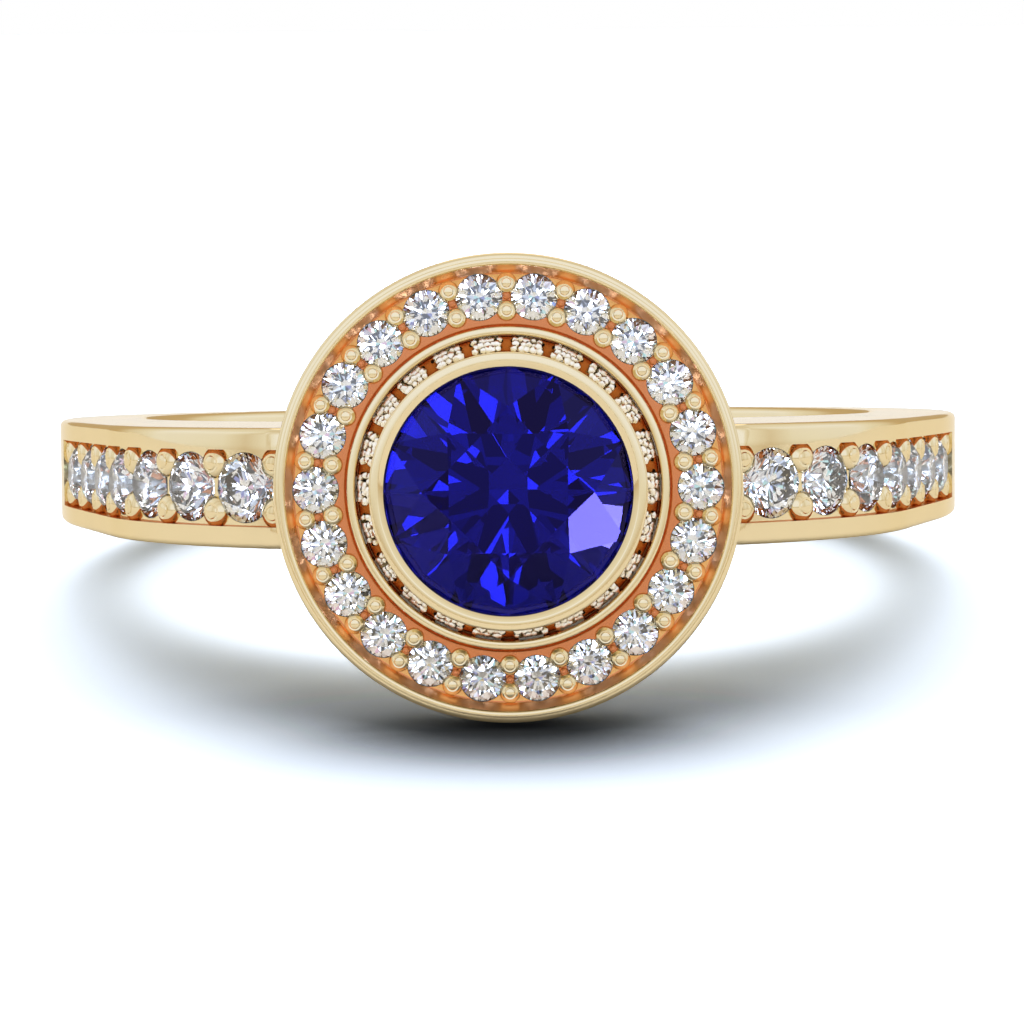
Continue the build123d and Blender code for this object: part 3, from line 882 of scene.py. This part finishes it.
def fill(tree, node, inputs):
    """Sets a node's inputs to plain values or links them to other nodes' outputs."""
    for socket, value in inputs.items():
        if isinstance(value, bpy.types.NodeSocket):
            tree.links.new(value, node.inputs[socket])
        else:
            node.inputs[socket].default_value = value


def added(tree, kind, inputs=None, **settings):
    """Adds a shader node with its settings and inputs."""
    node = tree.nodes.new("ShaderNode" + kind)
    for name, value in settings.items():
        setattr(node, name, value)
    fill(tree, node, inputs or {})
    return node


def object_noise(tree, scale, detail, stretch=(1, 1, 1)):
    """Noise on Object coordinates, for wear and colour that stay on the piece."""
    place = added(tree, "TexCoord").outputs["Object"]
    mapped = added(tree, "Mapping", {"Vector": place, "Scale": stretch}).outputs["Vector"]
    noise = added(tree, "TexNoise", {"Vector": mapped, "Scale": scale, "Detail": detail})
    return noise.outputs["Fac"]


def ranged(tree, value, start, end):
    """Maps a value from one range to another."""
    return added(tree, "MapRange", {
        "Value": value, "From Min": start[0], "From Max": start[1],
        "To Min": end[0], "To Max": end[1],
    }).outputs["Result"]


def colour_mix(tree, blend, factor, first, second):
    """A colour mix whose factor and colours are outputs or plain values."""
    return added(tree, "Mix", {"Factor": factor, "A": first, "B": second},
                 data_type="RGBA", blend_type=blend).outputs["Result"]


def product(tree, first, second):
    return colour_mix(tree, "MULTIPLY", 1.0, first, second)


def chosen(tree, factor, first, second):
    return colour_mix(tree, "MIX", factor, first, second)


def summed(tree, operation, first, second):
    """Adds or subtracts two values and keeps the result between 0 and 1."""
    return added(tree, "Math", {0: first, 1: second}, operation=operation,
                 use_clamp=True).outputs[0]


def ramp(tree, value, stops):
    """Maps a value to colours by (position, grey level or colour) stops."""
    step = added(tree, "ValToRGB", {"Fac": value})
    marks = step.color_ramp.elements
    for index, (position, tint) in enumerate(stops):
        mark = marks[index] if index < 2 else marks.new(position)
        mark.position = position
        mark.color = (*tint, 1) if isinstance(tint, tuple) else (tint, tint, tint, 1)
    return step.outputs["Color"]


def polished_gold(name, tint, roughness, wear):
    """Gold with the faint haze and hairlines that polishing leaves."""
    material, tree = new_material(name, tint)
    haze = object_noise(tree, HAZE_SCALE, 4)
    lines = object_noise(tree, LINE_SCALE, 2, LINE_STRETCH)
    bump = added(tree, "Bump", {"Strength": wear, "Distance": LINE_DEPTH, "Height": lines})
    fill(tree, tree.nodes["Principled BSDF"], {
        "Metallic": 1,
        "Specular Tint": (*(value ** 0.5 for value in tint), 1),
        "Base Color": chosen(tree, haze, (*tint, 1), (*(value * HAZE_SHADE for value in tint), 1)),
        "Roughness": ranged(tree, haze, (0, 1), [roughness * share for share in HAZE_SPREAD]),
        "Normal": bump.outputs["Normal"],
    })
    return material


def gem(name, tint, zone, index, gloss):
    """Clear stone with faint colour zones."""
    material, tree = new_material(name, tint)
    zones = object_noise(tree, ZONE_SCALE, 2)
    fill(tree, tree.nodes["Principled BSDF"], {
        "Transmission Weight": 1, "IOR": index, "Roughness": 0, "Specular Tint": (*gloss, 1),
        "Base Color": chosen(tree, zones, (*tint, 1), (*zone, 1)),
    })
    return material


def finish(name, scene):
    """The named finish, made once."""
    if name in bpy.data.materials:
        return bpy.data.materials[name]
    tints = scene.halo_ring_finishes
    if name in METALS:
        tint, roughness, wear = METALS[name]
        return polished_gold(name, tuple(getattr(tints, tint)), roughness, wear)
    if name == "blue_sapphire":
        return gem(name, tuple(tints.sapphire), tuple(tints.sapphire_zone), SAPPHIRE_INDEX,
                   tuple(tints.sapphire_gloss))
    white = tuple(tints.diamond)
    zone = tuple(value * DIAMOND_ZONE for value in white)
    return gem("clear_diamond", white, zone, DIAMOND_INDEX, (1, 1, 1))


def metal_finishes(scene):
    return [finish(name, scene) for name in METALS]


# Operators


class HALORING_OT_shank(bpy.types.Operator):
    """Cuts the shank with its channels, seats and beads"""

    bl_idname = "halo_ring.shank"
    bl_label = "Shank"

    def execute(self, context):
        body = shank(sizes_of(context.scene.halo_ring_shank))
        piece = hand_over("bead_set_shank", body, Matrix(), metal_finishes(context.scene),
                          ["shank"])
        even_shading(piece)
        return {"FINISHED"}


class HALORING_OT_head(bpy.types.Operator):
    """Turns the halo's tray, the bezel and the basket"""

    bl_idname = "halo_ring.head"
    bl_label = "Halo, bezel and basket"

    def execute(self, context):
        scene = context.scene
        size = sizes_of(scene.halo_ring_head)
        shank_size = sizes_of(scene.halo_ring_shank)
        level = head_levels(size, shank_size.seat_level)
        bridge = shank_size.bore_diameter / 2 + shank_size.bridge_thickness
        for name, body, node in (
            ("bead_set_halo", halo(size, level), "halo_frame"),
            ("turned_bezel", bezel(size, level), "centre_bezel"),
            ("strutted_basket", basket(size, level, bridge), "gallery_basket"),
        ):
            piece = hand_over(name, body, HEAD_TURN, metal_finishes(scene), [node])
            even_shading(piece)
        return {"FINISHED"}


class HALORING_OT_sapphire(bpy.types.Operator):
    """Cuts the centre stone"""

    bl_idname = "halo_ring.sapphire"
    bl_label = "Centre sapphire"

    def execute(self, context):
        scene = context.scene
        size = sizes_of(scene.halo_ring_head)
        stone = brilliant(size.centre_diameter, SAPPHIRE_CUT, SAPPHIRE_GIRDLE_STEPS)
        rise = Matrix.Translation((0, 0, size.bezel_level - size.stone_drop))
        piece = hand_over("cut_sapphire", stone, HEAD_TURN @ rise,
                          [finish("blue_sapphire", scene)], ["centre_sapphire"],
                          FACET_CREASE)
        glint_card(scene, piece)
        return {"FINISHED"}


class HALORING_OT_halo_stones(bpy.types.Operator):
    """Cuts and sets the halo's stones"""

    bl_idname = "halo_ring.halo_stones"
    bl_label = "Halo diamonds"

    def execute(self, context):
        scene = context.scene
        size = sizes_of(scene.halo_ring_head)
        level = head_levels(size, sizes_of(scene.halo_ring_shank).seat_level)
        cut = brilliant(size.stone_diameter, DIAMOND_CUT, DIAMOND_GIRDLE_STEPS)
        chance = Random(HALO_SEED)
        spots = round_head(size.stone_count, size.stone_circle, level.floor)
        for number, spot in enumerate(spots, start=1):
            twist = Matrix.Rotation(chance.uniform(0, pi / 4), 4, "Z")
            hand_over(f"halo_brilliant_{number:02d}", cut.copy(), HEAD_TURN @ spot @ twist,
                      [finish("clear_diamond", scene)], [f"halo_diamond_{number:02d}"],
                      FACET_CREASE)
        return {"FINISHED"}


class HALORING_OT_shank_stones(bpy.types.Operator):
    """Cuts and sets the shoulders' stones"""

    bl_idname = "halo_ring.shank_stones"
    bl_label = "Shoulder diamonds"

    def execute(self, context):
        scene = context.scene
        size = sizes_of(scene.halo_ring_shank)
        line = shank_outline(size)
        cut = brilliant(size.stone_diameter, DIAMOND_CUT, DIAMOND_GIRDLE_STEPS)
        chance = Random(SHOULDER_SEED)
        for side, name in ((-1, "left"), (1, "right")):
            for number in range(1, size.stone_count + 1):
                spot = shoulder_place(size, line, stone_run(size, line, number), side)
                twist = Matrix.Rotation(chance.uniform(0, pi / 4), 4, "Z")
                hand_over(f"{name}_shank_brilliant_{number}", cut.copy(), spot @ twist,
                          [finish("clear_diamond", scene)],
                          [f"{name}_shank_diamond_{number}"], FACET_CREASE)
        return {"FINISHED"}


class HALORING_OT_stage(bpy.types.Operator):
    """Lays the floor and sets up the light and the camera"""

    bl_idname = "halo_ring.stage"
    bl_label = "Floor, light and camera"

    def execute(self, context):
        lay_floor(context.scene)
        light_world(context.scene)
        hang_lamp(context.scene, "overhead_box", *OVERHEAD_BOX)
        aim_camera(context.scene)
        context.scene.view_settings.view_transform = "Standard"
        return {"FINISHED"}


# Stage

FLOOR_FRONT = Vector((0, -13.14, -4.26)) * MM
FLOOR_BACK = Vector((0, 10.25, -1.12)) * MM
FLOOR_REACH = 4.0
FLOOR_GAP = 0.00002

# Gain on the floor's colour: as it lights the ring, as the camera sees it and as metal shows it
FLOOR_LIT = (0.7, 0.72, 0.75)
FLOOR_SEEN = (1.62, 1.8, 2.02)
FLOOR_MIRRORED = (1.06, 1.0, 0.9)

# Painted contact shadow where the halo stands on the floor: an occlusion node darkens the floor's
# colour within a mask
CONTACT_REACH = 0.005
CONTACT_SAMPLES = 48
CONTACT_PLACE = (0, -0.0172, 0)
CONTACT_SPREAD = (0.0105, 0.0075, 1)
CONTACT_FADE = ((0.0, 0.0), (0.55, 1.0))
CONTACT_LEVELS = ((0.0, 0.02), (0.5, 0.1), (0.62, 0.35), (0.8, 0.9), (0.92, 1.0))

# Light by direction. Along Y it runs from the camera's side (0) to behind the ring (1), and in
# height from below (0) over level (0.5) to above (1).
PANEL_LEVELS = ((0.0, 1.0), (0.05, 1.0), (0.1, 0.85), (0.165, 0.74), (0.25, 0.88), (0.31, 0.72),
                (0.38, 0.88), (0.5, 0.9), (0.65, 0.92), (0.8, 0.75), (0.88, 0.55), (1.0, 0.5))
SKY_LEVELS = ((0.0, 0.6), (0.435, 0.6), (0.475, 0.86), (0.51, 1.0), (0.75, 1.08), (0.88, 0.95),
              (1.0, 0.85))
METAL_TINTS = ((0.0, (0.05, 0.03, 0.02)), (0.3, (0.4, 0.28, 0.16)), (0.6, (0.68, 0.56, 0.4)),
               (0.87, (0.92, 0.92, 0.9)), (1.0, (1.03, 1.1, 1.32)))
MATT_LEVELS = ((0.45, 0.12), (0.58, 1.0))
MATT_RISE = ((0.52, 0.12), (0.75, 0.7), (0.92, 3.4))
CELL_SCALE = 4.5
CELL_LEVELS = ((0.0, 0.03), (0.12, 0.03), (0.14, 0.3), (0.24, 0.3), (0.27, 0.6), (0.5, 0.9),
               (0.72, 1.2), (0.75, 7.0))
CELL_TINTS = ((0.0, (1.0, 0.6, 0.85)), (0.06, (1.0, 0.7, 0.9)), (0.08, (0.35, 0.45, 1.0)),
              (0.2, (0.4, 0.6, 1.0)), (0.22, (0.6, 1.0, 1.0)), (0.3, (0.8, 1.0, 1.0)),
              (0.33, (0.92, 1.02, 1.25)))

# Lamps: spot, aim, width in metres and power in watts
OVERHEAD_BOX = (Vector((0, 0.07, 0.16)), Vector((0, 0, 0)), 0.1, 0.02)
GLINT_CARD = (Vector((6.66, -17.1, -3.05)) * MM, Vector((1.5, -15.3, -0.62)) * MM, 3 * MM, 0.0005)

CAMERA_RISE = radians(3.2)
CAMERA_ROLL = radians(-0.525)
CAMERA_DISTANCE = 0.060
CAMERA_DROP = 0.00119
CAMERA_LENS = 89.82
CAMERA_SHIFT = 0.0034
CAMERA_NEAR = 0.001


def lay_floor(scene):
    """Pale floor under the head's rim and the back of the shank."""
    slope = FLOOR_BACK - FLOOR_FRONT
    bm = bmesh.new()
    bmesh.ops.create_grid(bm, x_segments=1, y_segments=1, size=FLOOR_REACH)
    lean = Matrix.Rotation(slope.angle(Vector((0, 1, 0))), 4, "X")
    middle = (FLOOR_FRONT + FLOOR_BACK) / 2 - Vector((0, 0, FLOOR_GAP))
    bmesh.ops.transform(bm, matrix=Matrix.Translation(middle) @ lean, verts=bm.verts[:])
    mesh = bpy.data.meshes.new("studio_floor")
    bm.to_mesh(mesh)
    bm.free()
    mesh.materials.append(floor_material(scene))
    floor = bpy.data.objects.new("studio_floor", mesh)
    scene.collection.objects.link(floor)
    floor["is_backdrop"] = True


def floor_material(scene):
    """Matt pale floor that reads white, also in metal and stone, but keeps the ring's shadow, with
    a painted contact shadow in its colour under the halo.
    """
    tint = tuple(scene.halo_ring_finishes.floor)
    material, tree = new_material("studio_floor", tint)
    tree.nodes.remove(tree.nodes["Principled BSDF"])
    path = added(tree, "LightPath").outputs
    mirrored = summed(tree, "ADD", path["Is Glossy Ray"], path["Is Transmission Ray"])
    mirrored = summed(tree, "SUBTRACT", mirrored, path["Diffuse Depth"])
    lit, seen, reflected = ((*(value * rise for value, rise in zip(tint, lift)), 1)
                            for lift in (FLOOR_LIT, FLOOR_SEEN, FLOOR_MIRRORED))
    nearness = added(tree, "AmbientOcclusion", {"Distance": CONTACT_REACH},
                     samples=CONTACT_SAMPLES)
    # Painted contact shadow: occlusion darkens the floor's colour as the camera sees it
    painted_contact_shadow = product(tree, seen, ramp(tree, nearness.outputs["AO"], CONTACT_LEVELS))
    shade = chosen(tree, path["Is Camera Ray"], chosen(tree, mirrored, lit, reflected),
                   chosen(tree, halo_shadow_mask(tree), seen, painted_contact_shadow))
    shader = added(tree, "BsdfDiffuse", {"Color": shade})
    tree.links.new(shader.outputs[0], tree.nodes["Material Output"].inputs["Surface"])
    return material


def halo_shadow_mask(tree):
    """Mask for the painted contact shadow, full where the halo stands on the floor and fading out
    round it.
    """
    place = added(tree, "Mapping", {
        "Vector": added(tree, "TexCoord").outputs["Object"],
        "Location": CONTACT_PLACE, "Scale": CONTACT_SPREAD,
    }, vector_type="TEXTURE").outputs["Vector"]
    spot = added(tree, "TexGradient", {"Vector": place}, gradient_type="SPHERICAL")
    return ramp(tree, spot.outputs["Fac"], CONTACT_FADE)


def light_world(scene):
    """Studio round the ring: white behind it, panels before it and pin lights for the stones."""
    scene.world = world = bpy.data.worlds.new("studio")
    world.use_nodes = True
    tree = world.node_tree
    path = added(tree, "LightPath").outputs
    place = added(tree, "TexCoord").outputs["Generated"]
    split = added(tree, "SeparateXYZ", {0: place}).outputs
    along, rise = (ranged(tree, split[axis], (-1, 1), (0, 1)) for axis in "YZ")
    level = product(tree, ramp(tree, along, PANEL_LEVELS), ramp(tree, rise, SKY_LEVELS))
    for_metal = ramp(tree, level, METAL_TINTS)
    cells = added(tree, "TexVoronoi", {"Vector": place, "Scale": CELL_SCALE}).outputs["Color"]
    drawn = added(tree, "SeparateColor", {0: cells}).outputs
    for_stones = product(tree, ramp(tree, drawn["Red"], CELL_LEVELS),
                         ramp(tree, drawn["Green"], CELL_TINTS))
    for_matt = product(tree, ramp(tree, along, MATT_LEVELS), ramp(tree, rise, MATT_RISE))
    light = chosen(tree, path["Is Transmission Ray"], for_metal, for_stones)
    light = chosen(tree, path["Diffuse Depth"], light, for_matt)
    light = chosen(tree, path["Is Camera Ray"], light, (1, 1, 1, 1))
    tree.links.new(light, tree.nodes["Background"].inputs["Color"])


def hang_lamp(scene, name, spot, aim, width, power):
    """A square lamp that shines from a spot to another."""
    lamp = bpy.data.lights.new(name, "AREA")
    lamp.shape = "SQUARE"
    lamp.size = width
    lamp.energy = power
    box = bpy.data.objects.new(name, lamp)
    box.location = spot
    box.rotation_euler = (aim - spot).to_track_quat("-Z", "Y").to_euler()
    box.visible_camera = False
    scene.collection.objects.link(box)
    return box


def glint_card(scene, stone):
    """A small card whose light only the centre stone mirrors."""
    card = hang_lamp(scene, "glint_card", *GLINT_CARD)
    lit = bpy.data.collections.new("lit_by_card")
    lit.objects.link(stone)
    card.light_linking.receiver_collection = lit


def aim_camera(scene):
    """Camera in front of the head, a little above it."""
    look = Vector((0, cos(CAMERA_RISE), -sin(CAMERA_RISE)))
    up = Vector((0, sin(CAMERA_RISE), cos(CAMERA_RISE)))
    lens = bpy.data.cameras.new("front_camera")
    lens.lens = CAMERA_LENS
    lens.sensor_width = 36
    lens.shift_x = CAMERA_SHIFT
    lens.clip_start = CAMERA_NEAR
    camera = bpy.data.objects.new("front_camera", lens)
    turn = look.to_track_quat("-Z", "Y").to_matrix().to_4x4()
    place = Matrix.Translation(-look * CAMERA_DISTANCE - up * CAMERA_DROP)
    camera.matrix_world = place @ turn @ Matrix.Rotation(CAMERA_ROLL, 4, "Z")
    scene.collection.objects.link(camera)
    scene.camera = camera


# Panel and registration


class HALORING_PT_panel(bpy.types.Panel):
    bl_idname = "HALORING_PT_panel"
    bl_label = "Halo Ring"
    bl_space_type = "VIEW_3D"
    bl_region_type = "UI"
    bl_category = "Halo Ring"

    def draw(self, context):
        for step in STEPS:
            self.layout.operator(step.bl_idname)
        for group in (context.scene.halo_ring_shank, context.scene.halo_ring_head,
                      context.scene.halo_ring_finishes):
            for name in group.__annotations__:
                self.layout.prop(group, name)


STEPS = (
    HALORING_OT_stage,
    HALORING_OT_shank,
    HALORING_OT_head,
    HALORING_OT_sapphire,
    HALORING_OT_halo_stones,
    HALORING_OT_shank_stones,
)
GROUPS = {
    "halo_ring_shank": HaloRingShankSizes,
    "halo_ring_head": HaloRingHeadSizes,
    "halo_ring_finishes": HaloRingFinishes,
}


def register():
    for group in GROUPS.values():
        bpy.utils.register_class(group)
    for step in (*STEPS, HALORING_PT_panel):
        bpy.utils.register_class(step)
    for name, group in GROUPS.items():
        setattr(bpy.types.Scene, name, PointerProperty(type=group))


def unregister():
    for name in GROUPS:
        delattr(bpy.types.Scene, name)
    for step in (HALORING_PT_panel, *reversed(STEPS)):
        bpy.utils.unregister_class(step)
    for group in GROUPS.values():
        bpy.utils.unregister_class(group)


def main():
    register()
    bpy.ops.halo_ring.stage()
    bpy.ops.halo_ring.shank()
    bpy.ops.halo_ring.head()
    bpy.ops.halo_ring.sapphire()
    bpy.ops.halo_ring.halo_stones()
    bpy.ops.halo_ring.shank_stones()
    bpy.context.view_layer.update()
    boxes = {"cad": cad_box, "visual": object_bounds()}
    {name: [list(corner) for corner in box] for name, box in boxes.items()}


if __name__ == "__main__":
    main()
